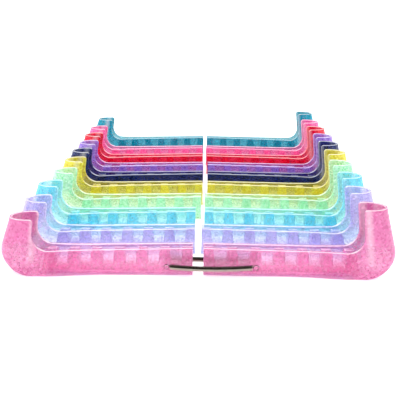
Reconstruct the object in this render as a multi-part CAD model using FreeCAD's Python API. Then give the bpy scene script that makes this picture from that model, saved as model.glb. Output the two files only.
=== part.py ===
"""Ten two-piece guards for figure-skate blades, standing in a row.

Each guard is a heel half and a toe half. A half is one plastic moulding: an open channel that
the blade stands in, with cross ribs that leave a slot for the blade, and a tower at its outer
end that wraps round the end of the blade. Two springs join the halves of the front guard.

Millimetres. +X runs from heel to toe, +Y to the rows behind, +Z up. The origin is on the
surface that the guards stand on, under the middle of the whole set.
"""
import FreeCAD
import Part
import math
import os
from dataclasses import dataclass

Vector = FreeCAD.Vector
Z_UP = Vector(0, 0, 1)
Y_AXIS = Vector(0, 1, 0)
X_AXIS = Vector(1, 0, 0)

# ---- channel, shared by both halves ----
HALF_LENGTH = 163.0         # cut end to the outermost point of the tower
CHANNEL_WIDTH = 13.2        # outside, at the cut end
FOOT_WIDTH = 15.6           # outside, where the channel starts to open into the tower
TOWER_WIDTH = 24.6          # outside, across the tower
WALL = 2.2
RIM_HEIGHT = 25.4           # at the cut end
SOLE = 3.0                  # solid floor under the blade
SLOT_WIDTH = 5.0            # takes a 4 mm blade with play
LEDGE_HEIGHT = 9.5          # step that runs along both walls between the ribs
RIB_LENGTH = 9.0            # along the channel
RIB_DROP = 2.2              # how far the ribs stop below the rim
RIB_COUNT = 7

# ---- tower ----
CORNER_RADIUS = 20.0        # sole to nose, seen from the side
INNER_RADIUS = 13.0         # rim to the tower's free edge
TOP_RADIUS = 3.0            # free edge to the tower's top
NOSE_TOP_RADIUS = 1.5
NOSE_ROUND = 15.0           # length over which the nose closes, seen from above
SOLE_FLARE_START = 78.0     # cut end to where the walls start to spread, at the sole
SOLE_FLARE_END = 122.0      # and to where they reach the tower's width
RIM_FLARE_START = 103.0     # the same near the rim, counted along the nose's lean
FLARE_TOP = 23.0            # height above which the outline seen from above stays the same

# ---- spring and the pegs it hooks on ----
WIRE = 0.9
COIL_DIAMETER = 4.8
PEG_HEIGHT = 9.4            # spring axis above the surface
PEG_DIAMETER = 2.6
PEG_HEAD_DIAMETER = 4.4
PEG_HEAD_THICKNESS = 1.1
HEEL_PEG_FROM_CUT = 22.0
TOE_PEG_FROM_CUT = 44.5
CLEARANCE = 0.3


@dataclass(frozen=True)
class HalfSizes:
    """What differs between the two halves of a guard."""
    name: str
    side: int               # -1 for the heel end, +1 for the toe end
    tower_height: float
    rim_drop: float         # how much lower the rim is at the tower than at the cut end
    free_foot: float        # cut end to the tower's free edge, at the rim
    free_top: float         # and at the tower's top
    lean: float             # how far the nose comes in for each mm of height
    rib_pitch: float
    peg_from_cut: float


HEEL = HalfSizes("heel", -1, 50.8, 3.4, 136.0, 131.5, 0.36, 19.3, HEEL_PEG_FROM_CUT)
TOE = HalfSizes("toe", 1, 62.1, 2.4, 135.0, 130.5, 0.28, 20.0, TOE_PEG_FROM_CUT)


@dataclass(frozen=True)
class Guard:
    """Where one guard stands: its step back from the guard in front, its middle and its gap."""
    colour: str
    step: float
    middle: float
    gap: float


GUARDS = [
    Guard("pink", 0.0, 0.0, 9.0),
    Guard("lilac", 47.0, -0.4, 5.6),
    Guard("aqua", 48.4, 0.8, 8.6),
    Guard("mint", 47.3, 3.6, 3.4),
    Guard("yellow", 46.8, 5.8, 5.0),
    Guard("navy", 42.8, 5.9, 5.4),
    Guard("violet", 42.1, 6.5, 5.2),
    Guard("red", 44.9, 5.4, 4.6),
    Guard("rose", 45.0, 4.8, 4.2),
    Guard("teal", 63.8, 6.0, 4.6),
]

PAST = 5.0                  # how far cutting shapes run past what they cut


def side_prism(outline, radii, half_width):
    """Makes a prism across Y from a side outline [(x, z)], with its corners rounded."""
    points = [Vector(x, -half_width, z) for x, z in outline]
    wire = Part.makePolygon(points + [points[0]])
    prism = Part.Face(wire).extrude(Vector(0, 2 * half_width, 0))
    for (x, z), radius in radii:
        edge = next(
            e for e in prism.Edges
            if len(e.Vertexes) == 2
            and all(math.hypot(v.X - x, v.Z - z) < 1e-4 for v in e.Vertexes)
        )
        prism = prism.makeFillet(radius, [edge])
    return prism


def base_length(sizes):
    """Length of the sole line to where the leaning nose line would meet it."""
    corner = math.pi / 2 - math.atan(sizes.lean)
    return HALF_LENGTH + CORNER_RADIUS * (1 / math.tan(corner / 2) - 1)


def outer_side(sizes):
    """The half's side view: sole, rounded corner, leaning nose, tower top, free edge and rim."""
    length = base_length(sizes)
    height = sizes.tower_height
    nose_top = (length - sizes.lean * height, height)
    free_top = (sizes.free_top, height)
    free_foot = (sizes.free_foot, RIM_HEIGHT - sizes.rim_drop)
    outline = [(0, 0), (length, 0), nose_top, free_top, free_foot, (0, RIM_HEIGHT)]
    radii = [
        ((length, 0), CORNER_RADIUS),
        (nose_top, NOSE_TOP_RADIUS),
        (free_top, TOP_RADIUS),
        (free_foot, INNER_RADIUS),
    ]
    return side_prism(outline, radii, TOWER_WIDTH)


def inner_side(sizes):
    """The side view of the space inside the walls, open at the top and at the cut end."""
    lean_length = math.hypot(1, sizes.lean)
    foot = base_length(sizes) - WALL * lean_length - sizes.lean * SOLE
    top = sizes.tower_height + PAST
    outline = [
        (-PAST, SOLE),
        (foot, SOLE),
        (foot - sizes.lean * (top - SOLE), top),
        (-PAST, top),
    ]
    return side_prism(outline, [((foot, SOLE), CORNER_RADIUS - WALL)], TOWER_WIDTH)


def section(sizes, inset, level, start, end):
    """The outline seen from above at one level: a straight channel, a flare and a round nose.

    start and end are where the flare runs, from the cut end, before the lean moves them.
    """
    base = base_length(sizes)
    half_channel = CHANNEL_WIDTH / 2
    half_foot = FOOT_WIDTH / 2
    half_tower = TOWER_WIDTH / 2
    shoulder = base - NOSE_ROUND
    taper = (half_foot - half_channel) / start
    straight = [-PAST] + [start * part / 5 for part in range(1, 6)]
    side = [(x, half_channel + taper * x - inset) for x in straight]
    side += [
        ((start + end) / 2, (half_foot + half_tower) / 2 - inset),
        (end, half_tower - inset),
        ((end + 2 * shoulder) / 3, half_tower - inset),
        (shoulder + NOSE_ROUND * 0.6 - inset * 0.6, half_tower * 0.78 - inset * 0.8),
        (base - NOSE_ROUND * 0.1 - inset, half_tower * 0.4 - inset * 0.35),
    ]
    shift = -sizes.lean * level
    loop = [Vector(x + shift, -y, level) for x, y in side]
    loop += [Vector(base - inset + shift, 0, level)]
    loop += [Vector(x + shift, y, level) for x, y in reversed(side)]
    spline = Part.BSplineCurve()
    spline.interpolate(loop)
    closing = Part.LineSegment(loop[-1], loop[0])
    return Part.Wire([spline.toShape(), closing.toShape()])


def plan_column(sizes, inset):
    """The walls' column: its flare starts nearer the cut end at the sole than at the rim."""
    rim_end = base_length(sizes) - NOSE_ROUND - 4.0
    top = sizes.tower_height + 2 * PAST
    levels = [
        (0.0, SOLE_FLARE_START, SOLE_FLARE_END),
        (FLARE_TOP, RIM_FLARE_START, rim_end),
        (top, RIM_FLARE_START, rim_end),
    ]
    wires = [section(sizes, inset, *level) for level in levels]
    return Part.makeLoft(wires, True, True)


def box(x0, x1, half_width, z0, z1):
    """A box centred on the blade's plane."""
    return Part.makeBox(x1 - x0, 2 * half_width, z1 - z0, Vector(x0, -half_width, z0))


def rib_starts(sizes):
    """Where each cross rib starts, from the cut end."""
    return [i * sizes.rib_pitch for i in range(RIB_COUNT)]


def ribs_and_ledge(sizes):
    """Solid blocks that fill the channel, before the blade slot is cut through them.

    The ribs step down towards the tower with the rim.
    """
    last = rib_starts(sizes)[-1] + RIB_LENGTH
    blocks = box(-PAST, last, TOWER_WIDTH, 0, LEDGE_HEIGHT)
    for start in rib_starts(sizes):
        rim = RIM_HEIGHT - sizes.rim_drop * (start + RIB_LENGTH) / sizes.free_foot
        blocks = blocks.fuse(box(start, start + RIB_LENGTH, TOWER_WIDTH, 0, rim - RIB_DROP))
    return blocks


def spring_offset():
    """From the blade's plane to a spring's axis: clear of the wall by the clearance."""
    coil_end = TOE_PEG_FROM_CUT
    widest = CHANNEL_WIDTH + (FOOT_WIDTH - CHANNEL_WIDTH) * coil_end / SOLE_FLARE_START
    return widest / 2 + CLEARANCE + COIL_DIAMETER / 2


def peg(from_cut, side):
    """One spring peg with its head, on the wall at y = side."""
    root = CHANNEL_WIDTH / 2 - WALL / 2
    head_start = spring_offset() + WIRE / 2 + CLEARANCE
    direction = Vector(0, side, 0)
    stem = Part.makeCylinder(
        PEG_DIAMETER / 2, head_start - root, Vector(from_cut, side * root, PEG_HEIGHT), direction
    )
    head = Part.makeCylinder(
        PEG_HEAD_DIAMETER / 2,
        PEG_HEAD_THICKNESS,
        Vector(from_cut, side * head_start, PEG_HEIGHT),
        direction,
    )
    head = head.makeFillet(PEG_HEAD_THICKNESS * 0.4, head.Edges)
    return stem.fuse(head)


def make_half(sizes):
    """One half, with its cut end at x = 0 and its tower towards +X."""
    body = plan_column(sizes, 0).common(outer_side(sizes))
    body = body.common(box(0, 2 * HALF_LENGTH, TOWER_WIDTH, -PAST, 2 * sizes.tower_height))
    hollow = plan_column(sizes, WALL).common(inner_side(sizes))
    body = body.cut(hollow.cut(ribs_and_ledge(sizes)))
    slot_end = rib_starts(sizes)[-1] + RIB_LENGTH + PAST
    body = body.cut(box(-PAST, slot_end, SLOT_WIDTH / 2, SOLE, RIM_HEIGHT + PAST))
    for side in (-1, 1):
        body = body.fuse(peg(sizes.peg_from_cut, side))
    return body.removeSplitter()


def set_middle():
    """The middle of the whole set, measured from the front guard's row and middle line."""
    left = min(guard.middle - guard.gap / 2 for guard in GUARDS) - HALF_LENGTH
    right = max(guard.middle + guard.gap / 2 for guard in GUARDS) + HALF_LENGTH
    depth = sum(guard.step for guard in GUARDS)
    return (left + right) / 2, depth / 2


def cut_end(guard, sizes):
    """Where a half's cut end stands along X."""
    return guard.middle - set_middle()[0] + sizes.side * guard.gap / 2


def place_half(master, sizes, guard, row_y):
    """Copies a half to its guard: turned to its own end and moved to its place."""
    half = master.copy()
    if sizes.side < 0:
        half = half.mirror(Vector(0, 0, 0), X_AXIS)
    half.translate(Vector(cut_end(guard, sizes), row_y, 0))
    return half


def make_spring(guard, row_y, side):
    """A close-coiled spring between the pegs on one side of a guard, with an eye at each end."""
    offset = row_y + side * spring_offset()
    heel_x = cut_end(guard, HEEL) - HEEL.peg_from_cut
    toe_x = cut_end(guard, TOE) + TOE.peg_from_cut
    eye_radius = PEG_DIAMETER / 2 + CLEARANCE + WIRE / 2
    neck = PEG_HEAD_DIAMETER / 2 + CLEARANCE
    coil_start = Vector(heel_x + neck, offset, PEG_HEIGHT)
    coil_length = toe_x - heel_x - 2 * neck
    spring = Part.makeCylinder(COIL_DIAMETER / 2, coil_length, coil_start, X_AXIS)
    bore_start = coil_start + X_AXIS * WIRE
    bore = Part.makeCylinder(COIL_DIAMETER / 2 - WIRE, coil_length - 2 * WIRE, bore_start, X_AXIS)
    spring = spring.cut(bore)
    for eye_x, inward in ((heel_x, 1), (toe_x, -1)):
        centre = Vector(eye_x, offset, PEG_HEIGHT)
        neck_start = centre + X_AXIS * inward * eye_radius
        neck_length = neck - eye_radius + WIRE / 2
        spring = spring.fuse(Part.makeTorus(eye_radius, WIRE / 2, centre, Y_AXIS))
        spring = spring.fuse(
            Part.makeCylinder(WIRE / 2, neck_length, neck_start, X_AXIS * inward)
        )
    return spring


def main():
    """Builds every piece and writes it to its own file."""
    os.makedirs("parts", exist_ok=True)
    masters = {HEEL.name: make_half(HEEL), TOE.name: make_half(TOE)}
    pieces = {}
    row_y = -set_middle()[1]
    front_row = row_y
    for guard in GUARDS:
        row_y += guard.step
        for sizes in (HEEL, TOE):
            node = f"{guard.colour}_{sizes.name}_half"
            pieces[node] = place_half(masters[sizes.name], sizes, guard, row_y)
    pieces["front_spring"] = make_spring(GUARDS[0], front_row, -1)
    pieces["rear_spring"] = make_spring(GUARDS[0], front_row, 1)
    for node, shape in pieces.items():
        print(node, len(shape.Solids), shape.isValid(), round(shape.Volume))
        shape.exportStep(f"parts/{node}.step")


main()
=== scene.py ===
"""Blender model of ten two-piece guards for figure-skate blades, and of the studio round them.

Every guard has a heel half and a toe half moulded in see-through glitter plastic. Two springs of
drawn steel wire join the halves of the front guard. Lengths are millimetres up to the point
where a mesh is written, which is in metres.
"""
import logging
import math
from dataclasses import dataclass, field
from enum import Enum
from typing import Any

import bmesh
import bpy
import numpy as np
from mathutils import Matrix, Vector
from mathutils.geometry import delaunay_2d_cdt


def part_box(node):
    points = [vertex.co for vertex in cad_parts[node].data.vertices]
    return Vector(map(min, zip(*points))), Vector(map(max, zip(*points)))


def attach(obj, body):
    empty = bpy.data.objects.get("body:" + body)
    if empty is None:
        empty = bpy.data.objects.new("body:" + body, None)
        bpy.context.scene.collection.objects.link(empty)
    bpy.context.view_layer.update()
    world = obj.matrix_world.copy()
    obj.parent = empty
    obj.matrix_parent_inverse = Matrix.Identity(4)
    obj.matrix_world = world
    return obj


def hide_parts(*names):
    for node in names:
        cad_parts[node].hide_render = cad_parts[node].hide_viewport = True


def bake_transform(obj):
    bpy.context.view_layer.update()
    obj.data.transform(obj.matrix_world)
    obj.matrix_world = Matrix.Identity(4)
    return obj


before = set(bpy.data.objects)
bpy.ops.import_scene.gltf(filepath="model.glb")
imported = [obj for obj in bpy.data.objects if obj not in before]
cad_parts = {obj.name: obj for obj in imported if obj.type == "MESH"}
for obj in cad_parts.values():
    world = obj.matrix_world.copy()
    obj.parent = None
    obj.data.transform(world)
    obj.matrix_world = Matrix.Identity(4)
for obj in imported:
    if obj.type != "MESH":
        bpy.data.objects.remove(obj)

LOG = logging.getLogger("blade_guards")
MM = 0.001
SHARP_ANGLE = math.radians(38)
MERGE_DISTANCE = 0.02 * MM
# A direction along which hardly any two points of a piece are level.
SORT_WAY = Vector((1.0, 0.618034, 0.414214))
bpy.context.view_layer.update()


class End(Enum):
    """The two ends of a guard; the value is the way the tower points along X."""

    HEEL = -1
    TOE = 1


# ---------------------------------------------------------------- mesh helpers


def new_object(name: str, mesh: bpy.types.Mesh) -> bpy.types.Object:
    """Puts a mesh into the scene as an object.

    Args:
        name: name of the piece.
        mesh: its mesh, in metres.

    Returns:
        The linked object.
    """
    obj = bpy.data.objects.new(name, mesh)
    bpy.context.scene.collection.objects.link(obj)
    return obj


def mesh_from(name: str, bm: bmesh.types.BMesh) -> bpy.types.Mesh:
    """Writes a BMesh in millimetres to a mesh in metres, and frees it."""
    bmesh.ops.recalc_face_normals(bm, faces=bm.faces)
    bmesh.ops.scale(bm, vec=(MM, MM, MM), verts=bm.verts)
    mesh = bpy.data.meshes.new(name)
    bm.to_mesh(mesh)
    bm.free()
    return mesh


def united(base: bpy.types.Object, others: list[bpy.types.Object]) -> bpy.types.Mesh:
    """Joins overlapping closed solids into one skin.

    Args:
        base: the object that the others are added to.
        others: closed solids that overlap it; they are removed.

    Returns:
        The united mesh.
    """
    for other in others:
        modifier = base.modifiers.new("unite", "BOOLEAN")
        modifier.operation = "UNION"
        modifier.solver = "EXACT"
        modifier.object = other
    graph = bpy.context.evaluated_depsgraph_get()
    mesh = bpy.data.meshes.new_from_object(base.evaluated_get(graph))
    for other in others:
        bpy.data.objects.remove(other)
    bpy.data.objects.remove(base)
    return mesh


def natural_spline(points: np.ndarray, count: int) -> np.ndarray:
    """Samples a natural cubic spline through points, by chord length.

    Args:
        points: the points to pass through, one per row.
        count: how many samples to return.

    Returns:
        The samples, one per row.
    """
    chord = np.linalg.norm(np.diff(points, axis=0), axis=1)
    knots = np.concatenate([[0.0], np.cumsum(chord)])
    size = len(points)
    system = np.eye(size)
    right = np.zeros_like(points)
    for i in range(1, size - 1):
        before, after = chord[i - 1], chord[i]
        system[i, i - 1:i + 2] = (before, 2 * (before + after), after)
        right[i] = 6 * (
            (points[i + 1] - points[i]) / after - (points[i] - points[i - 1]) / before
        )
    bend = np.linalg.solve(system, right)
    at = np.linspace(0.0, knots[-1], count)
    span = np.clip(np.searchsorted(knots, at, side="right") - 1, 0, size - 2)
    width = chord[span][:, None]
    left = (knots[span + 1] - at)[:, None]
    gone = (at - knots[span])[:, None]
    return (
        bend[span] * left**3 / (6 * width)
        + bend[span + 1] * gone**3 / (6 * width)
        + (points[span] / width - bend[span] * width / 6) * left
        + (points[span + 1] / width - bend[span + 1] * width / 6) * gone
    )


def rounded_corner(before: tuple[float, float], corner: tuple[float, float],
                   after: tuple[float, float], radius: float, count: int
                   ) -> list[tuple[float, float]]:
    """Rounds a corner between two straight lines.

    Args:
        before: a point on the line that comes in.
        corner: where the lines meet.
        after: a point on the line that goes out.
        radius: the round's radius.
        count: how many points the round gets, both ends included.

    Returns:
        The points along the round.
    """
    into = (Vector(corner) - Vector(before)).normalized()
    out = (Vector(after) - Vector(corner)).normalized()
    turn = math.atan2(into.x * out.y - into.y * out.x, into.dot(out))
    start = Vector(corner) - into * radius * math.tan(abs(turn) / 2)
    arm = start - (start + Vector((-into.y, into.x)) * math.copysign(radius, turn))
    centre = start - arm
    angles = [math.atan2(arm.y, arm.x) + turn * k / (count - 1) for k in range(count)]
    return [(centre.x + radius * math.cos(a), centre.y + radius * math.sin(a)) for a in angles]


def spaced(start: tuple[float, float], stop: tuple[float, float], gap: float
           ) -> list[tuple[float, float]]:
    """Points from start towards stop, about a gap apart, without stop itself."""
    count = max(1, round(math.dist(start, stop) / gap))
    return [
        (start[0] + (stop[0] - start[0]) * k / count, start[1] + (stop[1] - start[1]) * k / count)
        for k in range(count)
    ]


# ---------------------------------------------------------------- one moulded half

# Mesh spacing in millimetres: along the rim, up the tower's free edge, over its top, along the
# channel, round the tower, and up the wall.
RIM_STEP, EDGE_STEP, TOP_STEP, CHANNEL_STEP, TOWER_STEP, RISE_STEP = 3.0, 2.5, 1.3, 3.2, 1.5, 1.9
# Heights of the points up the cut end, and shares of the wall's foot that get a row of points.
CUT_LEVELS = (4.5, 9.0, 13.0, 17.5)
FOOT_ROWS = (0.08, 0.17, 0.28, 0.4, 0.6, 0.8, 1.0)
OUTLINE_SAMPLES = 2401
# The outline starts this far behind the cut end, and takes two points on the nose: a share of
# the nose's round along X, and a share of the tower's half width.
LEAD_IN = 5.0
NOSE_SIDE = (0.6, 0.78)
NOSE_TIP = (0.1, 0.4)


@dataclass
class HalfShape:
    """Sizes of one half of a guard, in millimetres, and the mesh built from them.

    The half lies with its cut end at x = 0 and its tower towards +X. Its wall is one bent
    sheet: a point is named by how far it is round the outline seen from above, and by its
    height, and the same points carried inwards by the wall give the inner face.
    """

    end: End
    tower_height: float
    rim_drop: float
    free_foot: float
    free_top: float
    lean: float
    rib_pitch: float
    peg_from_cut: float
    length: float = 163.0
    channel_width: float = 13.2
    foot_width: float = 15.6
    tower_width: float = 24.6
    wall: float = 2.2
    rim_height: float = 25.4
    sole: float = 3.0
    slot_width: float = 5.0
    ledge_height: float = 9.5
    rib_length: float = 9.0
    rib_drop: float = 2.2
    rib_count: int = 7
    corner_radius: float = 20.0
    inner_radius: float = 13.0
    top_radius: float = 3.0
    nose_round: float = 15.0
    sole_flare: tuple[float, float] = (78.0, 122.0)
    rim_flare_start: float = 103.0
    flare_top: float = 23.0
    side_radius: float = 1.4
    lip: float = 0.35
    lip_depth: float = 1.7
    peg_height: float = 9.4
    peg_diameter: float = 2.6
    peg_head_diameter: float = 4.4
    peg_head_thickness: float = 1.1
    widest_at_coil: float = 44.5
    coil_diameter: float = 4.8
    wire: float = 0.9
    clearance: float = 0.3
    inner_foot_radius: float = 1.0
    rib_draft: float = 0.5
    rib_inset: float = 0.25
    rib_round: float = 0.45
    ledge_tail: float = 2.5
    base: float = field(init=False)
    draw_start: float = field(init=False)
    foot_reach: float = field(init=False)
    lines: tuple[np.ndarray, np.ndarray] = field(init=False)
    outs: tuple[np.ndarray, np.ndarray] = field(init=False)
    run: np.ndarray = field(init=False)
    cut_lines: tuple[list[int], list[int]] = field(init=False)

    def __post_init__(self) -> None:
        """Works out the outlines at the sole and at the rim, and their outward directions."""
        corner = math.pi / 2 - math.atan(self.lean)
        self.base = self.length + self.corner_radius * (1 / math.tan(corner / 2) - 1)
        # The corner's round draws in the last 50 mm; the foot's curve ends 1.5 mm above the sole.
        self.draw_start = self.base - 50.0
        self.foot_reach = self.sole + 1.5
        rim_flare = (self.rim_flare_start, self.base - self.nose_round - 4.0)
        self.lines = tuple(self.section(*flare) for flare in (self.sole_flare, rim_flare))
        self.outs = tuple(self.outward(line) for line in self.lines)
        step = np.linalg.norm(np.diff(self.lines[1], axis=0), axis=1)
        self.run = np.concatenate([[0.0], np.cumsum(step)])

    def section(self, start: float, end: float) -> np.ndarray:
        """The outline at one level: a straight channel, a flare from start to end, a nose.

        Args:
            start: where the walls start to spread.
            end: where they reach the tower's width.

        Returns:
            Its points, one per row, before the lean moves them.
        """
        base, shoulder = self.base, self.base - self.nose_round
        channel, foot, tower = self.channel_width / 2, self.foot_width / 2, self.tower_width / 2
        straight = [-LEAD_IN] + [start * part / 5 for part in range(1, 6)]
        side = [(x, channel + (foot - channel) * x / start) for x in straight]
        side += [
            ((start + end) / 2, (foot + tower) / 2),
            (end, tower),
            ((end + 2 * shoulder) / 3, tower),
            (shoulder + self.nose_round * NOSE_SIDE[0], tower * NOSE_SIDE[1]),
            (base - self.nose_round * NOSE_TIP[0], tower * NOSE_TIP[1]),
        ]
        loop = side + [(base, 0.0)] + [(x, -y) for x, y in reversed(side)]
        return natural_spline(np.array(loop), OUTLINE_SAMPLES)

    @staticmethod
    def outward(line: np.ndarray) -> np.ndarray:
        """The outward direction at each point of an outline."""
        tangent = np.gradient(line, axis=0)
        tangent /= np.linalg.norm(tangent, axis=1)[:, None]
        return np.stack([-tangent[:, 1], tangent[:, 0]], axis=1)

    @property
    def total_run(self) -> float:
        """Length of the rim's outline seen from above."""
        return float(self.run[-1])

    @property
    def peg_head_start(self) -> float:
        """From the blade's plane to the underside of a peg's head."""
        taper = (self.foot_width - self.channel_width) / self.sole_flare[0]
        widest = self.channel_width + taper * self.widest_at_coil
        return widest / 2 + self.coil_diameter / 2 + self.wire / 2 + 2 * self.clearance

    def rim_share(self, level: float) -> float:
        """How far a level is from the sole's outline, 0, towards the rim's, 1."""
        return min(max(level / self.flare_top, 0.0), 1.0)

    def plan_at(self, run: float, level: float) -> tuple[np.ndarray, np.ndarray]:
        """The outline's point and outward direction at a distance round it and a level."""
        share = self.rim_share(level)
        found = [
            np.array([np.interp(run, self.run, pair[k][:, i]) for i in (0, 1)])
            for pair in (self.lines, self.outs) for k in (0, 1)
        ]
        point = found[0] * (1 - share) + found[1] * share
        out = found[2] * (1 - share) + found[3] * share
        return point, out / np.linalg.norm(out)

    def run_at(self, x: float, level: float) -> float:
        """The distance round the outline, on its first side, at which it reaches x."""
        share = self.rim_share(level)
        middle = len(self.run) // 2
        line = self.lines[0][:middle, 0] * (1 - share) + self.lines[1][:middle, 0] * share
        return float(np.interp(x + self.lean * level, line, self.run[:middle]))

    def half_width(self, x: float, level: float) -> float:
        """Half of the outside width at x and a level."""
        return float(self.plan_at(self.run_at(x, level), level)[0][1])

    def corner_inset(self, rise: float, radius: float) -> float:
        """How far the nose comes in, besides its lean, at a height above the sole or floor.

        Args:
            rise: height above the surface that the round corner runs out into.
            radius: the corner's radius.

        Returns:
            The distance along X; 0 above the round corner.
        """
        lean_angle = math.atan(self.lean)
        if rise >= radius * (1 + math.sin(lean_angle)):
            return 0.0
        tangent = radius * (1 + math.sin(lean_angle)) / math.cos(lean_angle)
        drop = radius - max(rise, 0.0)
        return tangent - math.sqrt(radius**2 - drop**2) - self.lean * max(rise, 0.0)

    def outer_point(self, run: float, height: float, bulge: float) -> np.ndarray:
        """A point of the outer face.

        Args:
            run: distance round the outline.
            height: height up the wall; it is followed down round the edge to the sole at 0.
            bulge: how far the lip stands out there.

        Returns:
            The point.
        """
        inset, level = 0.0, height
        if height < self.foot_reach:
            straight = self.foot_reach - self.side_radius
            share = height / self.foot_reach
            inset, level = self.round_under(share, straight, self.side_radius, 0.0)
        corner = self.corner_inset(level, self.corner_radius)
        return self.wall_point(run, level, inset - bulge, corner)

    def inner_point(self, run: float, height: float, bulge: float) -> np.ndarray:
        """The point of the inner face opposite an outer one, with the same arguments."""
        inset, level = 0.0, height
        if height < self.foot_reach:
            radius = self.inner_foot_radius
            straight = self.foot_reach - self.sole - radius
            inset, level = self.round_under(height / self.foot_reach, straight, radius, self.sole)
        corner = self.corner_inset(level - self.sole, self.corner_radius - self.wall)
        return self.wall_point(run, level, inset + self.wall + bulge, corner)

    def wall_point(self, run: float, level: float, inset: float, corner: float) -> np.ndarray:
        """The point at a distance round the outline and a level.

        Args:
            run: distance round the outline.
            level: height above the surface.
            inset: how far the point is carried inwards from the outline.
            corner: how far the nose's tip is drawn in there; the last part of the wall follows.

        Returns:
            The point.
        """
        plan, out = self.plan_at(run, level)
        drawn = max(plan[0] - self.draw_start, 0.0) / (self.base - self.draw_start)
        x = plan[0] - corner * drawn - out[0] * inset - self.lean * level
        return np.array([x, plan[1] - out[1] * inset, level])

    @staticmethod
    def round_under(share: float, straight: float, radius: float, floor: float
                    ) -> tuple[float, float]:
        """Follows the wall's foot: a straight piece, then a quarter round to the floor.

        Args:
            share: 0 at the floor, 1 at the top of the foot.
            straight: length of the straight piece.
            radius: radius of the quarter round.
            floor: height of the floor.

        Returns:
            How far the face has come in, and its height.
        """
        curve = radius * math.pi / 2
        left = share * (straight + curve)
        if left >= curve:
            return 0.0, floor + radius + left - curve
        angle = math.pi / 2 * (1 - left / curve)
        return radius * (1 - math.cos(angle)), floor + radius * (1 - math.sin(angle))

    def rim_at(self, x: float) -> float:
        """Height of the rim at x; it falls towards the tower."""
        return self.rim_height - self.rim_drop * x / self.free_foot

    def top_edge(self) -> list[tuple[float, float]]:
        """The wall's upper edge on one side, as (x, z), half a wall inside the finished rim."""
        inset = self.wall / 2
        top = self.tower_height - inset
        foot = (self.free_foot + inset, self.rim_at(self.free_foot) - inset)
        cap = (self.free_top + inset, top)
        start = (0.0, self.rim_height - inset)
        bend = rounded_corner(start, foot, cap, self.inner_radius + inset, 14)
        crown = rounded_corner(foot, cap, (cap[0] + 9.0, top), self.top_radius - inset, 6)
        rim = spaced(start, bend[0], RIM_STEP)
        return rim + bend + spaced(bend[-1], crown[0], EDGE_STEP)[1:] + crown

    def sheet_outline(self) -> list[tuple[float, float]]:
        """The wall's top boundary laid flat, as (distance round, height), from the cut end."""
        first = [(self.run_at(x, z), z) for x, z in self.top_edge()]
        total = self.total_run
        top = self.tower_height - self.wall / 2
        across = np.arange(first[-1][0] + TOP_STEP, total / 2, TOP_STEP)
        middle = [(s, top) for s in across] + [(total / 2, top)]
        middle += [(total - s, top) for s in reversed(across)]
        return first + middle + [(total - s, z) for s, z in reversed(first)]

    def columns(self) -> np.ndarray:
        """Distances round the outline at which the wall has points: closer at the tower."""
        side = [self.run_at(0.0, 0.0)]
        slow = self.run_at(self.free_foot - 35.0, self.rim_height)
        while side[-1] < self.total_run / 2 - 1.0:
            side.append(side[-1] + (CHANNEL_STEP if side[-1] < slow else TOWER_STEP))
        side = side[:-1]
        whole = side + [self.total_run / 2] + [self.total_run - s for s in reversed(side)]
        return np.array(whole)

    def sheet(self) -> tuple[np.ndarray, list[tuple[int, ...]], list[int], list[int]]:
        """Fills the flat wall with triangles.

        Returns:
            Its points, its triangles, the points along the top edge in order, and the points
            along the foot in order.
        """
        top = self.sheet_outline()
        columns = self.columns()
        foot = [(s, 0.0) for s in columns]
        starts = [(self.run_at(0.0, z), z) for z in CUT_LEVELS]
        ends = [(self.total_run - s, z) for s, z in reversed(starts)]
        loop = top + ends + list(reversed(foot)) + starts
        boundary = np.array(loop)
        inside: list[tuple[float, float]] = []
        for s in columns[1:-1]:
            levels = [self.foot_reach * share for share in FOOT_ROWS]
            levels += list(np.arange(self.foot_reach + RISE_STEP, self.tower_height, RISE_STEP))
            inside += [(s, z) for z in levels]
        kept = [p for p in inside if self.is_inside(np.array(p), boundary)]
        verts = [Vector(p) for p in loop + kept]
        edges = [(i, (i + 1) % len(loop)) for i in range(len(loop))]
        points, _, faces, origin, _, _ = delaunay_2d_cdt(
            verts, edges, [list(range(len(loop)))], 1, 1e-4
        )
        where = {old: new for new, olds in enumerate(origin) for old in olds}
        top_line = [where[i] for i in range(len(top))]
        foot_start = len(top) + len(ends)
        foot_line = [where[foot_start + i] for i in range(len(foot))]
        start_line = [where[foot_start + len(foot) + i] for i in range(len(starts))]
        end_line = [where[len(top) + i] for i in range(len(ends))]
        self.cut_lines = (
            [foot_line[-1]] + start_line + [top_line[0]],
            [foot_line[0]] + list(reversed(end_line)) + [top_line[-1]],
        )
        flat = np.array([tuple(p) for p in points])
        return flat, [tuple(f) for f in faces], top_line, foot_line

    @staticmethod
    def is_inside(point: np.ndarray, boundary: np.ndarray, margin: float = 0.7) -> bool:
        """Whether a point is inside a closed boundary and not too near it."""
        start, stop = boundary, np.roll(boundary, -1, axis=0)
        along = stop - start
        share = ((point - start) * along).sum(axis=1) / np.maximum((along**2).sum(axis=1), 1e-9)
        near = start + along * np.clip(share, 0, 1)[:, None]
        if np.linalg.norm(near - point, axis=1).min() < margin:
            return False
        crosses = (start[:, 1] > point[1]) != (stop[:, 1] > point[1])
        rise = np.where(along[:, 1] == 0, 1e-9, along[:, 1])
        at = start[:, 0] + (point[1] - start[:, 1]) / rise * along[:, 0]
        return bool((crosses & (point[0] < at)).sum() % 2)

    def lip_bulge(self, flat: np.ndarray, top_line: list[int]) -> np.ndarray:
        """How far the lip stands out at each point of the flat wall."""
        line = flat[top_line]
        start, along = line[:-1], np.diff(line, axis=0)
        length = np.maximum((along**2).sum(axis=1), 1e-9)
        bulge = np.zeros(len(flat))
        for i, point in enumerate(flat):
            share = np.clip(((point - start) * along).sum(axis=1) / length, 0, 1)
            distance = np.linalg.norm(start + along * share[:, None] - point, axis=1).min()
            bulge[i] = self.lip * math.exp(-((distance / self.lip_depth) ** 2))
        return bulge

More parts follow.
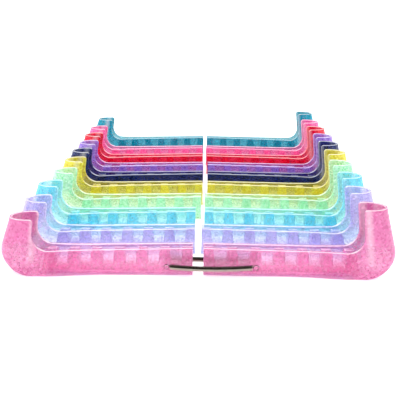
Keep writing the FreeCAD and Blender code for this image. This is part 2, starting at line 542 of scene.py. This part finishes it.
    def shell(self, name: str) -> bpy.types.Object:
        """The walls, sole and rounded lip as one closed skin."""
        flat, faces, top_line, foot_line = self.sheet()
        bulge = self.lip_bulge(flat, top_line)
        outer = [self.outer_point(s, z, b) for (s, z), b in zip(flat, bulge)]
        inner = [self.inner_point(s, z, b) for (s, z), b in zip(flat, bulge)]
        bm = bmesh.new()
        out_verts = [bm.verts.new(p) for p in outer]
        in_verts = [bm.verts.new(p) for p in inner]
        for face in faces:
            bm.faces.new([out_verts[i] for i in face])
            bm.faces.new([in_verts[i] for i in reversed(face)])
        self.add_lip(bm, out_verts, in_verts, top_line)
        for line in self.cut_lines:
            for i in line:
                out_verts[i].co.x = in_verts[i].co.x = 0.0
            for a, b in zip(line, line[1:]):
                bm.faces.new([out_verts[a], out_verts[b], in_verts[b], in_verts[a]])
        first, last = foot_line[0], foot_line[-1]
        bm.faces.new([out_verts[first], out_verts[last], in_verts[last], in_verts[first]])
        bm.faces.new([out_verts[i] for i in foot_line])
        bm.faces.new([in_verts[i] for i in foot_line])
        flats = [f for f in bm.faces if len(f.verts) > 4]
        bmesh.ops.triangulate(bm, faces=flats)
        return new_object(name, mesh_from(name, bm))

    def add_lip(self, bm: bmesh.types.BMesh, out_verts: list[Any], in_verts: list[Any],
                top_line: list[int], steps: int = 6) -> None:
        """Closes the gap between the two faces along the top edge with a half-round lip."""
        middles = [(out_verts[i].co + in_verts[i].co) / 2 for i in top_line]
        rings = []
        for k, i in enumerate(top_line):
            along = middles[min(k + 1, len(middles) - 1)] - middles[max(k - 1, 0)]
            across = (out_verts[i].co - in_verts[i].co) / 2
            away = across.cross(along).normalized() * self.wall / 2
            wrong_way = away.dot(last_away) < 0 if rings else away.z < 0
            if wrong_way:
                away = -away
            last_away = away
            ring = [out_verts[i]]
            for step in range(1, steps):
                angle = math.pi * step / steps
                point = middles[k] + across * math.cos(angle) + away * math.sin(angle)
                if k in (0, len(top_line) - 1):
                    point.x = 0.0
                ring.append(bm.verts.new(point))
            rings.append(ring + [in_verts[i]])
        for one, two in zip(rings, rings[1:]):
            for j in range(steps):
                bm.faces.new([one[j], one[j + 1], two[j + 1], two[j]])
        for ring in (rings[0], rings[-1]):
            bm.faces.new(ring)

    def rib_comb(self, name: str, side: int) -> bpy.types.Object:
        """The ledge and cross ribs on one side of the blade slot, as one block."""
        draft, start, foot = self.rib_draft, self.rib_inset, self.sole - 1.0
        outline: list[tuple[float, float]] = [(start, foot)]
        for i in range(self.rib_count):
            start = i * self.rib_pitch
            stop = start + self.rib_length
            top = self.rim_at(stop) - self.rib_drop
            if i:
                outline += [(start - draft, self.ledge_height), (start + draft, top)]
            else:
                outline += [(self.rib_inset, top)]
            outline += [(stop - draft, top), (stop + draft, self.ledge_height)]
        outline[-1] = (outline[-1][0] + self.ledge_tail, foot)
        bm = bmesh.new()
        near = [bm.verts.new((x, side * self.slot_width / 2, z)) for x, z in outline]
        far = [
            bm.verts.new((x, side * (self.half_width(x, z) - self.wall * 0.55), z))
            for x, z in outline
        ]
        count = len(outline)
        front = bm.faces.new(near)
        bm.faces.new(list(reversed(far)))
        for i in range(count):
            j = (i + 1) % count
            bm.faces.new([near[j], near[i], far[i], far[j]])
        soft = [e for e in front.edges if max(v.co.z for v in e.verts) > self.sole]
        soft += [
            e for i in range(count) for e in near[i].link_edges
            if e.other_vert(near[i]) is far[i] and near[i].co.z > self.sole
        ]
        bmesh.ops.bevel(
            bm, geom=list(dict.fromkeys(soft)), offset=self.rib_round, segments=2, profile=0.5,
            affect="EDGES",
        )
        bmesh.ops.triangulate(bm, faces=[f for f in bm.faces if len(f.verts) > 4])
        return new_object(name, mesh_from(name, bm))

    def peg(self, name: str, side: int) -> bpy.types.Object:
        """One spring peg: a short stem, sunk in the wall, with a rounded head."""
        stem, head = self.peg_diameter / 2, self.peg_head_diameter / 2
        root, under = self.channel_width / 2 - self.wall * 0.6, self.peg_head_start
        face = under + self.peg_head_thickness
        throat, edge, round_off, dome = 0.3, 0.2, self.peg_head_thickness * 0.45, 0.05
        profile = [(0.0, root), (stem, root), (stem, under - throat), (stem + 0.35, under)]
        profile += [(head - edge, under), (head, under + edge)]
        profile += [
            (head - round_off * (1 - math.cos(a)), face - round_off * (1 - math.sin(a)))
            for a in (0.0, 0.5, 1.0, math.pi / 2)
        ]
        profile += [(0.0, face + dome)]
        turns = 24
        bm = bmesh.new()
        rings = []
        for radius, reach in profile:
            if radius == 0.0:
                rings.append([bm.verts.new((self.peg_from_cut, side * reach, self.peg_height))])
                continue
            rings.append([
                bm.verts.new((
                    self.peg_from_cut + radius * math.cos(2 * math.pi * k / turns),
                    side * reach,
                    self.peg_height + radius * math.sin(2 * math.pi * k / turns),
                ))
                for k in range(turns)
            ])
        for one, two in zip(rings, rings[1:]):
            for k in range(turns):
                m = (k + 1) % turns
                pairs = ((one, k), (one, m), (two, m), (two, k))
                corners = [ring[at % len(ring)] for ring, at in pairs]
                bm.faces.new(list(dict.fromkeys(corners)))
        return new_object(name, mesh_from(name, bm))

    def build(self) -> bpy.types.Mesh:
        """Builds the whole half as one skin.

        Returns:
            The mesh, in metres, with the cut end at x = 0 and the tower towards +X.
        """
        label = self.end.name.lower()
        base = self.shell(f"{label}_shell")
        extras = [self.rib_comb(f"{label}_comb_{side}", side) for side in (-1, 1)]
        extras += [self.peg(f"{label}_peg_{side}", side) for side in (-1, 1)]
        mesh = united(base, extras)
        bm = bmesh.new()
        bm.from_mesh(mesh)
        # The union's points come in a new order each run, and a merge keeps the first of two.
        bm.verts.sort(key=lambda vert: vert.co.dot(SORT_WAY))
        bm.faces.sort(key=lambda face: face.calc_center_median().dot(SORT_WAY))
        bmesh.ops.remove_doubles(bm, verts=bm.verts, dist=MERGE_DISTANCE)
        bm.to_mesh(mesh)
        bm.free()
        LOG.info("%s half: %d faces", label, len(mesh.polygons))
        return mesh


# ---------------------------------------------------------------- finishes

# Where the painted flank highlight or a feature of the plastic fades in or out. Upward or endward
# share of the face's normal:
RISING_FLANK = (0.35, 0.75)
LEVEL_TOP = (0.93, 0.99)
END_TURN = (0.2, 0.75)
# Random value of a flake, from clear to milky and, with the tones it leads to, from pale to deep:
FLAKE_CUT = (0.72, 0.95)
FLAKE_TONE = (0.35, 0.75, 0.0, 0.8)
# Metres: heights, and distances from the set's middle, the painted tower streak and the blade's
# plane:
TOWER_RISE = (20.0 * MM, 34.0 * MM)
STREAK_START = (9.0 * MM, 18.0 * MM)
TOWER_START = (122.0 * MM, 134.0 * MM)
STREAK_REACH = (0.6 * MM, 4.5 * MM)
RIB_FACE = (2.7 * MM, 3.1 * MM)
# Upward share of the wire's normal where the painted dark reflection band lies, and where it fades
# off at the top down to a rest:
DARK_BAND_FLANK = (0.12, 0.3)
TOP_FADE = (0.82, 0.94, 1.0, 0.1)
EYE_MARK = "eye"
WHITE = (1.0, 1.0, 1.0, 1.0)


def linear(code: str) -> tuple[float, float, float, float]:
    """Turns an sRGB hex colour into a linear one with alpha 1."""
    parts = [int(code[i:i + 2], 16) / 255 for i in (1, 3, 5)]
    parts = [p / 12.92 if p <= 0.04045 else ((p + 0.055) / 1.055) ** 2.4 for p in parts]
    return (parts[0], parts[1], parts[2], 1.0)


def add_node(tree: bpy.types.NodeTree, kind: str, settings: dict[Any, Any] | None = None,
             links: dict[Any, Any] | None = None) -> bpy.types.Node:
    """Adds a node with its settings and the links that feed it.

    Args:
        tree: the node tree.
        kind: the node's type.
        settings: property or input name to value.
        links: input name to the socket that feeds it, or to the node whose first output does.

    Returns:
        The new node.
    """
    node = tree.nodes.new(kind)
    for key, value in (settings or {}).items():
        if isinstance(key, str) and hasattr(node, key):
            setattr(node, key, value)
        else:
            node.inputs[key].default_value = value
    for key, source in (links or {}).items():
        socket = source.outputs[0] if isinstance(source, bpy.types.Node) else source
        tree.links.new(socket, node.inputs[key])
    return node


def ramp(low: float, high: float, start: float = 0.0, stop: float = 1.0) -> dict[str, float]:
    """Settings that lead a value from start, at low, to stop, at high."""
    return {"From Min": low, "From Max": high, "To Min": start, "To Max": stop}


def bare_material(name: str) -> bpy.types.Material:
    """Makes a material with an empty node tree."""
    mat = bpy.data.materials.new(name)
    mat.use_nodes = True
    mat.node_tree.nodes.clear()
    return mat


@dataclass(frozen=True)
class GlitterPlastic:
    """Clear moulded PVC with dye and fine glitter in it.

    The dye deepens with the plastic's thickness, so solid ribs look denser than the thin walls
    between them. A little milky pigment makes the walls glow, and the glitter shows as fine pale
    and deep specks. Highlights are painted in: the rims' upward flanks and a streak up each tower
    are led to white. A field named milky, flake or milk is a share of pigment, in general or in
    one region; the places, depths, grain and speck are in millimetres.
    """

    name: str
    dye: str
    pigment: str
    deep: str
    milky: float = 0.1
    flake: float = 0.32
    straight: float = 0.45
    rim_light: float = 0.7
    end_milk: float = 0.4
    rib_milk: float = 0.28
    tower_milk: float = 0.26
    tower_tone: float = 0.0
    corner_milk: float = 0.0
    # The painted highlight streak up each tower: its strength, its place along X in millimetres,
    # its lean.
    streak_strength: float = 0.34
    streak_place: float = 144.6
    streak_lean: float = 0.14
    dye_depth: float = 12.0
    roughness: float = 0.06
    ior: float = 1.45
    speck: float = 1.7
    grain: float = 2.2
    relief: float = 0.12
    relief_depth: float = 0.1

    def absorption(self) -> tuple[tuple[float, float, float, float], float]:
        """Colour and density that leave white light in the dye's colour after its depth."""
        loss = [-math.log(max(c, 0.004)) / (self.dye_depth * MM) for c in linear(self.dye)[:3]]
        density = max(loss) / 0.98
        return (*(1 - value / density for value in loss), 1.0), density

    def painted_flank_highlight(self, tree: bpy.types.NodeTree, facing: bpy.types.Node) -> bpy.types.Node:
        """Painted highlight: the rims' rounded upward flanks are led to white; flat tops are not.
        """
        rising, levelling = (
            add_node(tree, "ShaderNodeMapRange", span, {"Value": facing.outputs["Z"]})
            for span in (ramp(*RISING_FLANK, stop=self.rim_light), ramp(*LEVEL_TOP, 1.0, 0.0))
        )
        return add_node(
            tree, "ShaderNodeMath", {"operation": "MULTIPLY"}, {0: rising, 1: levelling}
        )

    def painted_tower_streak(self, tree: bpy.types.NodeTree, along: bpy.types.Node,
                  height: bpy.types.NodeSocket) -> bpy.types.Node:
        """Painted highlight: a pale streak up each tower, where the wall turns round towards the
        nose.
        """
        leaning = add_node(
            tree, "ShaderNodeMath", {"operation": "MULTIPLY_ADD", 1: self.streak_lean},
            {0: height, 2: along},
        )
        from_line = add_node(
            tree, "ShaderNodeMath", {"operation": "SUBTRACT", 1: self.streak_place * MM},
            {0: leaning},
        )
        distance = add_node(tree, "ShaderNodeMath", {"operation": "ABSOLUTE"}, {0: from_line})
        streak, above_foot = (
            add_node(tree, "ShaderNodeMapRange", span, {"Value": value})
            for span, value in (
                (ramp(*STREAK_REACH, self.streak_strength, 0.0), distance),
                (ramp(*STREAK_START), height),
            )
        )
        return add_node(
            tree, "ShaderNodeMath", {"operation": "MULTIPLY"}, {0: streak, 1: above_foot}
        )

    def tint(self, tree: bpy.types.NodeTree, random: bpy.types.NodeSocket,
             height: bpy.types.NodeSocket, paling: bpy.types.Node) -> bpy.types.NodeSocket:
        """The pigment's colour: deep in some flakes and up the tower, and white at the painted
        highlights.

        Args:
            tree: the node tree.
            random: a random value of each flake.
            height: height above the surface.
            paling: how far the colour is led to white, for the painted highlights.

        Returns:
            The colour's socket.
        """
        tone, tower_tone = (
            add_node(tree, "ShaderNodeMapRange", span, {"Value": value})
            for span, value in (
                (ramp(*FLAKE_TONE), random), (ramp(*TOWER_RISE, stop=self.tower_tone), height)
            )
        )
        depth = add_node(tree, "ShaderNodeMath", {"operation": "MAXIMUM"}, {0: tone, 1: tower_tone})
        body = add_node(
            tree, "ShaderNodeMix",
            {"data_type": "RGBA", 6: linear(self.pigment), 7: linear(self.deep)}, {0: depth},
        )
        # Painted highlight: the colour is led to white as far as paling says.
        lit = add_node(
            tree, "ShaderNodeMix", {"data_type": "RGBA", 7: WHITE},
            {0: paling, 6: body.outputs[2]},
        )
        return lit.outputs[2]

    def thick_places(self, tree: bpy.types.NodeTree, place: bpy.types.Node,
                     facing: bpy.types.Node, along: bpy.types.Node, blade_plane: float
                     ) -> bpy.types.Node:
        """The pigment's extra share: round the ends, up the towers and on rubbed rib faces.

        Args:
            tree: the node tree.
            place: the separated place on the set, in metres.
            facing: the separated normal.
            along: distance from the set's middle.
            blade_plane: where the guard's blade plane is along Y, in metres.

        Returns:
            The node that holds the greatest of the shares.
        """
        endways = add_node(
            tree, "ShaderNodeMath", {"operation": "ABSOLUTE"}, {0: facing.outputs["X"]}
        )
        # The blade rubs the faces of the ribs along the slot, and they turn dull and dense.
        aside = add_node(
            tree, "ShaderNodeMath", {"operation": "SUBTRACT", 1: blade_plane},
            {0: place.outputs["Y"]},
        )
        off_plane = add_node(tree, "ShaderNodeMath", {"operation": "ABSOLUTE"}, {0: aside})
        greatest, *others = (
            add_node(tree, "ShaderNodeMapRange", span, {"Value": value})
            for span, value in (
                (ramp(*END_TURN, stop=self.end_milk), endways),
                (ramp(*TOWER_RISE, stop=self.tower_milk), place.outputs["Z"]),
                (ramp(*TOWER_START, stop=self.corner_milk), along),
                (ramp(*RIB_FACE, self.rib_milk, 0.0), off_plane),
            )
        )
        for share in others:
            greatest = add_node(
                tree, "ShaderNodeMath", {"operation": "MAXIMUM"}, {0: greatest, 1: share}
            )
        return greatest

    def material(self, blade_plane: float) -> bpy.types.Material:
        """Makes the node material of one guard.

        Args:
            blade_plane: where the guard's blade plane is along Y, in metres.

        Returns:
            The material.
        """
        mat = bare_material(self.name)
        tree = mat.node_tree
        coords = add_node(tree, "ShaderNodeTexCoord").outputs["Object"]
        place = add_node(tree, "ShaderNodeSeparateXYZ", {}, {"Vector": coords})
        along = add_node(tree, "ShaderNodeMath", {"operation": "ABSOLUTE"}, {0: place.outputs["X"]})
        normal = add_node(tree, "ShaderNodeNewGeometry").outputs["True Normal"]
        facing = add_node(tree, "ShaderNodeSeparateXYZ", {}, {"Vector": normal})
        # Real glitter is about 0.3 mm; it is drawn coarser so that it shows at this distance.
        flakes = add_node(
            tree, "ShaderNodeTexVoronoi",
            {"Scale": 1 / (self.speck * MM), "Randomness": 1.0}, {"Vector": coords},
        )
        speck = add_node(tree, "ShaderNodeSeparateColor", {}, {"Color": flakes.outputs["Color"]})
        # Moulded gloss is a little uneven.
        fine = add_node(
            tree, "ShaderNodeTexNoise",
            {"Scale": 1 / (self.grain * MM), "Detail": 2.0, "Roughness": 0.6}, {"Vector": coords},
        )
        rough = add_node(
            tree, "ShaderNodeMapRange",
            {"To Min": self.roughness - 0.04, "To Max": self.roughness + 0.06},
            {"Value": fine.outputs["Fac"]},
        )
        bump = add_node(
            tree, "ShaderNodeBump",
            {"Strength": self.relief, "Distance": self.relief_depth * MM},
            {"Height": fine.outputs["Fac"]},
        )
        skin = {"Roughness": rough, "Normal": bump}
        # Painted highlights: the rims' upward flanks and a streak up each tower are led to white.
        flank_highlight = self.painted_flank_highlight(tree, facing)
        tower_streak = self.painted_tower_streak(tree, along, place.outputs["Z"])
        paling = add_node(tree, "ShaderNodeMath", {"operation": "MAXIMUM"}, {0: flank_highlight, 1: tower_streak})
        tint = self.tint(tree, speck.outputs["Green"], place.outputs["Z"], paling)
        milk = add_node(
            tree, "ShaderNodeBsdfPrincipled", {"IOR": self.ior}, {"Base Color": tint, **skin}
        )
        clear = add_node(
            tree, "ShaderNodeBsdfPrincipled",
            {"Base Color": WHITE, "Transmission Weight": 1.0, "IOR": self.ior}, skin,
        )
        straight = add_node(tree, "ShaderNodeBsdfTransparent", {"Color": WHITE})
        see_through = add_node(
            tree, "ShaderNodeMixShader", {0: self.straight}, {1: clear, 2: straight}
        )
        share = add_node(
            tree, "ShaderNodeMapRange",
            ramp(*FLAKE_CUT, self.milky, self.flake), {"Value": speck.outputs["Red"]},
        )
        dense = self.thick_places(tree, place, facing, along, blade_plane)
        thicker = add_node(
            tree, "ShaderNodeMath", {"operation": "ADD", "use_clamp": True}, {0: share, 1: dense}
        )
        # The painted flank highlight also raises the pigment share, so that the pale colour shows
        # there.
        milky = add_node(tree, "ShaderNodeMath", {"operation": "MAXIMUM"}, {0: thicker, 1: flank_highlight})
        mix = add_node(tree, "ShaderNodeMixShader", {}, {0: milky, 1: see_through, 2: milk})
        colour, density = self.absorption()
        volume = add_node(tree, "ShaderNodeVolumeAbsorption", {"Color": colour, "Density": density})
        add_node(tree, "ShaderNodeOutputMaterial", {}, {"Surface": mix, "Volume": volume})
        return mat


@dataclass(frozen=True)
class SpringSteel:
    """Drawn spring steel wire: bright, with fine uneven marks, a painted dark reflection on the
    coils' upper flanks, and darker eyes.
    """

    name: str = "drawn_spring_steel"
    colour: str = "#c9c4b8"
    shadow: str = "#8a8478"
    # Colour of the painted dark reflection band and of the darker eyes.
    dark_reflection_and_eyes: str = "#140d08"
    roughness: float = 0.22
    mark: float = 0.5
    relief: float = 0.15
    relief_depth: float = 0.03

    def material(self) -> bpy.types.Material:
        """Makes the node material, for a wire that marks its eyes in an attribute."""
        mat = bare_material(self.name)
        tree = mat.node_tree
        coords = add_node(tree, "ShaderNodeTexCoord").outputs["Object"]
        marks = add_node(
            tree, "ShaderNodeTexNoise",
            {"Scale": 1 / (self.mark * MM), "Detail": 3.0, "Roughness": 0.65}, {"Vector": coords},
        )
        tone = add_node(
            tree, "ShaderNodeMix",
            {"data_type": "RGBA", 6: linear(self.colour), 7: linear(self.shadow)},
            {0: marks.outputs["Fac"]},
        )
        # Painted reflection: a dark band above the coils' middle, fading off at their tops; the
        # eyes are darker too.
        normal = add_node(tree, "ShaderNodeNewGeometry").outputs["True Normal"]
        facing = add_node(tree, "ShaderNodeSeparateXYZ", {}, {"Vector": normal})
        rising, fading_top = (
            add_node(tree, "ShaderNodeMapRange", ramp(*span), {"Value": facing.outputs["Z"]})
            for span in (DARK_BAND_FLANK, TOP_FADE)
        )
        dark_reflection_band = add_node(tree, "ShaderNodeMath", {"operation": "MULTIPLY"}, {0: rising, 1: fading_top})
        # The mark is kept on the wire itself, so that it stays on the eyes when the coil stretches.
        eyes = add_node(tree, "ShaderNodeAttribute", {"attribute_name": EYE_MARK})
        dark = add_node(
            tree, "ShaderNodeMath", {"operation": "MAXIMUM"}, {0: dark_reflection_band, 1: eyes.outputs["Fac"]}
        )
        darkened = add_node(
            tree, "ShaderNodeMix", {"data_type": "RGBA", 7: linear(self.dark_reflection_and_eyes)},
            {0: dark, 6: tone.outputs[2]},
        )
        rough = add_node(
            tree, "ShaderNodeMapRange",
            {"To Min": self.roughness - 0.08, "To Max": self.roughness + 0.12},
            {"Value": marks.outputs["Fac"]},
        )
        bump = add_node(
            tree, "ShaderNodeBump",
            {"Strength": self.relief, "Distance": self.relief_depth * MM},
            {"Height": marks.outputs["Fac"]},
        )
        shader = add_node(
            tree, "ShaderNodeBsdfPrincipled", {"Metallic": 1.0},
            {"Base Color": darkened.outputs[2], "Roughness": rough, "Normal": bump},
        )
        add_node(tree, "ShaderNodeOutputMaterial", {}, {"Surface": shader})
        return mat


PLASTICS = {
    "pink": GlitterPlastic(
        "pink_glitter_pvc", "#f8b4db", "#ee94c4", "#c64c90", milky=0.12, tower_milk=0.54,
        tower_tone=0.5, corner_milk=0.28,
    ),
    "lilac": GlitterPlastic("lilac_glitter_pvc", "#dcd8f8", "#cfc4f6", "#9a8ee0", milky=0.08),
    "aqua": GlitterPlastic("aqua_glitter_pvc", "#a4ecf7", "#76e6fa", "#36bcdc", milky=0.1),
    "mint": GlitterPlastic("mint_glitter_pvc", "#dcfce6", "#d2ffe0", "#7ee6ac", milky=0.14),
    "yellow": GlitterPlastic("yellow_glitter_pvc", "#f4ef80", "#f9ee54", "#d8c020", milky=0.22),
    "navy": GlitterPlastic("navy_glitter_pvc", "#203f96", "#102a78", "#061040", milky=0.44),
    "violet": GlitterPlastic("violet_glitter_pvc", "#c6aeee", "#b898f0", "#8460c8", milky=0.26),
    "red": GlitterPlastic("red_glitter_pvc", "#f44464", "#fb183e", "#c80a2a", milky=0.4),
    "rose": GlitterPlastic("rose_glitter_pvc", "#ffa4da", "#ff84c6", "#f6469c", milky=0.28),
    "teal": GlitterPlastic("teal_glitter_pvc", "#26acc2", "#04a4c0", "#04788e", milky=0.44),
}


# ---------------------------------------------------------------- pieces in their places


@dataclass
class Guard:
    """One guard of the set: its two halves in one colour, where the frame has them."""

    colour: str
    shapes: dict[End, bpy.types.Mesh]

    def build(self) -> list[bpy.types.Object]:
        """Places and dresses both halves."""
        low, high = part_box(f"{self.colour}_toe_half")
        material = PLASTICS[self.colour].material((low[1] + high[1]) / 2)
        return [self.place(end, material) for end in End]

    def place(self, end: End, material: bpy.types.Material) -> bpy.types.Object:
        """Places one half on its node's box: cut end inwards, foot on the surface.

        Args:
            end: which half.
            material: the plastic it is moulded in.

        Returns:
            The piece.
        """
        node = f"{self.colour}_{end.name.lower()}_half"
        low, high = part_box(node)
        mesh = self.shapes[end].copy()
        mesh.name = f"{node}_moulding"
        cut_end = low[0] if end is End.TOE else high[0]
        place = Matrix.Translation((cut_end, (low[1] + high[1]) / 2, low[2]))
        if end is End.HEEL:
            place = place @ Matrix.Diagonal((-1.0, 1.0, 1.0, 1.0))
        mesh.transform(place)
        if end is End.HEEL:
            mesh.flip_normals()
        mesh.shade_smooth()
        mesh.set_sharp_from_angle(angle=SHARP_ANGLE)
        mesh.materials.clear()
        mesh.materials.append(material)
        piece = new_object(f"{node}_moulding", mesh)
        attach(piece, f"{self.colour}_{end.name.lower()}")
        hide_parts(node)
        LOG.info("%s placed", piece.name)
        return piece


@dataclass
class CoilSpring:
    """A close-coiled spring with an eye at each end, between two pegs on one side."""

    node: str
    heel_peg: float
    toe_peg: float
    offset: float
    wire: float = 0.9
    coil: float = 4.8
    eye: float = 2.05
    neck: float = 2.7
    sag: float = 1.6
    height: float = 9.4
    pitch: float = 1.04
    turn_points: int = 18
    open_angle: int = 160

    def path(self) -> list[tuple[float, float, float]]:
        """The wire's centre line: eye, coil, eye."""
        radius = (self.coil - self.wire) / 2
        start = self.heel_peg + self.neck + self.wire / 2
        stop = self.toe_peg - self.neck - self.wire / 2
        turns = round((stop - start) / (self.wire * self.pitch))
        count = turns * self.turn_points
        points = self.ring(self.heel_peg, -1)
        for k in range(count + 1):
            share = k / count
            angle = 2 * math.pi * turns * share + math.pi / 2
            droop = self.sag * 4 * share * (1 - share)
            points.append((
                start + (stop - start) * share,
                self.offset + radius * math.cos(angle),
                self.height + radius * math.sin(angle) - droop,
            ))
        return points + self.ring(self.toe_peg, 1)

    def ring(self, peg: float, way: int) -> list[tuple[float, float, float]]:
        """The wire's centre line round one peg.

        Args:
            peg: where the peg is along X.
            way: the way the ring opens along X, -1 or 1.

        Returns:
            The points, almost a full turn.
        """
        return [
            (
                peg + way * self.eye * math.cos(a),
                self.offset,
                self.height + way * self.eye * math.sin(a),
            )
            for a in np.radians(np.arange(-self.open_angle, self.open_angle, 12))
        ]

    def mark_eyes(self, mesh: bpy.types.Mesh) -> None:
        """Marks the vertices of both eyes with 1 and those of the coil with 0.

        Args:
            mesh: the wire's mesh, in metres.
        """
        first, last = (self.heel_peg + self.neck) * MM, (self.toe_peg - self.neck) * MM
        mark = mesh.attributes.new(EYE_MARK, "FLOAT", "POINT")
        for vertex, value in zip(mesh.vertices, mark.data):
            value.value = 0.0 if first <= vertex.co.x <= last else 1.0

    def build(self, material: bpy.types.Material) -> bpy.types.Object:
        """Sweeps the wire along its path, dresses it and hangs it between the halves."""
        curve = bpy.data.curves.new(self.node, "CURVE")
        curve.dimensions = "3D"
        curve.bevel_depth = self.wire / 2 * MM
        curve.bevel_resolution = 2
        curve.use_fill_caps = True
        points = self.path()
        spline = curve.splines.new("POLY")
        spline.points.add(len(points) - 1)
        for point, place in zip(spline.points, points):
            point.co = (place[0] * MM, place[1] * MM, place[2] * MM, 1.0)
        source = new_object(f"{self.node}_line", curve)
        graph = bpy.context.evaluated_depsgraph_get()
        mesh = bpy.data.meshes.new_from_object(source.evaluated_get(graph))
        bpy.data.objects.remove(source)
        mesh.shade_smooth()
        self.mark_eyes(mesh)
        mesh.materials.clear()
        mesh.materials.append(material)
        piece = new_object(f"{self.node}_wire", mesh)
        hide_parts(self.node)
        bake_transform(piece)
        LOG.info("%s wound, %d faces", piece.name, len(mesh.polygons))
        return piece


# ---------------------------------------------------------------- studio


@dataclass(frozen=True)
class Studio:
    """A pale floor, soft light all round, and the camera."""

    camera_place: tuple[float, float, float] = (1.2, -726.2, 231.6)
    tilt: float = 17.96
    turn: float = 0.26
    roll: float = 0.54
    lens: float = 58.5

    def camera(self) -> None:
        """Makes the camera and looks along the rows."""
        data = bpy.data.cameras.new("camera")
        data.lens = self.lens
        data.sensor_width = 36.0
        data.clip_start = 0.01
        data.clip_end = 50.0
        obj = bpy.data.objects.new("camera", data)
        bpy.context.scene.collection.objects.link(obj)
        heading = Matrix.Rotation(math.radians(self.turn), 4, "Z")
        pitch = Matrix.Rotation(math.radians(90 - self.tilt), 4, "X")
        twist = Matrix.Rotation(math.radians(self.roll), 4, "Z")
        place = Matrix.Translation([v * MM for v in self.camera_place])
        obj.matrix_world = place @ heading @ pitch @ twist
        bpy.context.scene.camera = obj

    def floor(self) -> None:
        """Makes the floor, large enough to fill every view."""
        bm = bmesh.new()
        bmesh.ops.create_grid(bm, x_segments=2, y_segments=2, size=6.0)
        bmesh.ops.translate(bm, vec=(0, 0, -0.0004), verts=bm.verts)
        mesh = bpy.data.meshes.new("floor")
        bm.to_mesh(mesh)
        bm.free()
        mat = bpy.data.materials.new("white_paper")
        mat.use_nodes = True
        shader = mat.node_tree.nodes["Principled BSDF"]
        shader.inputs["Base Color"].default_value = linear("#fafafa")
        shader.inputs["Roughness"].default_value = 0.9
        shader.inputs["Specular IOR Level"].default_value = 0.0
        shader.inputs["Emission Color"].default_value = linear("#ffffff")
        shader.inputs["Emission Strength"].default_value = 0.45
        mesh.materials.append(mat)
        obj = new_object("floor", mesh)

    def light(self) -> None:
        """White surroundings and two large soft lamps."""
        world = bpy.data.worlds.new("white_room")
        bpy.context.scene.world = world
        world.use_nodes = True
        back = world.node_tree.nodes["Background"]
        back.inputs["Color"].default_value = (1.0, 1.0, 1.0, 1.0)
        back.inputs["Strength"].default_value = 1.2
        for name, place, size, power in (
            ("key", (-0.5, -0.2, 1.3), 0.8, 9.0),
            ("fill", (0.9, 0.5, 1.1), 0.7, 3.5),
        ):
            data = bpy.data.lights.new(name, "AREA")
            data.shape = "SQUARE"
            data.size = size
            data.energy = power
            lamp = bpy.data.objects.new(name, data)
            bpy.context.scene.collection.objects.link(lamp)
            lamp.location = place
            aim = Vector((0, 0, 0)) - Vector(place)
            lamp.rotation_euler = aim.to_track_quat("-Z", "Y").to_euler()
        scene = bpy.context.scene
        scene.view_settings.view_transform = "Standard"
        # Light crosses ten see-through guards in a row, so it needs many crossings.
        scene.cycles.max_bounces = 32
        scene.cycles.transmission_bounces = 32
        scene.cycles.transparent_max_bounces = 96

    def build(self) -> None:
        """Sets up the whole studio."""
        self.camera()
        self.floor()
        self.light()


def main() -> None:
    """Builds the guards, the springs and the studio."""
    logging.basicConfig(level=logging.INFO, format="%(name)s: %(message)s")
    shapes = {
        End.HEEL: HalfShape(
            End.HEEL, tower_height=50.8, rim_drop=3.4, free_foot=136.0, free_top=131.5, lean=0.36,
            rib_pitch=19.3, peg_from_cut=22.0,
        ),
        End.TOE: HalfShape(
            End.TOE, tower_height=62.1, rim_drop=2.4, free_foot=135.0, free_top=130.5, lean=0.28,
            rib_pitch=20.0, peg_from_cut=44.5,
        ),
    }
    meshes = {end: shape.build() for end, shape in shapes.items()}
    for colour in PLASTICS:
        Guard(colour, meshes).build()
    heel_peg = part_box("pink_heel_half")[1][0] / MM - shapes[End.HEEL].peg_from_cut
    toe_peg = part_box("pink_toe_half")[0][0] / MM + shapes[End.TOE].peg_from_cut
    steel = SpringSteel().material()
    for node in ("front_spring", "rear_spring"):
        low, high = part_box(node)
        CoilSpring(node, heel_peg, toe_peg, (low[1] + high[1]) / 2 / MM).build(steel)
    Studio().build()


if __name__ == "__main__":
    main()
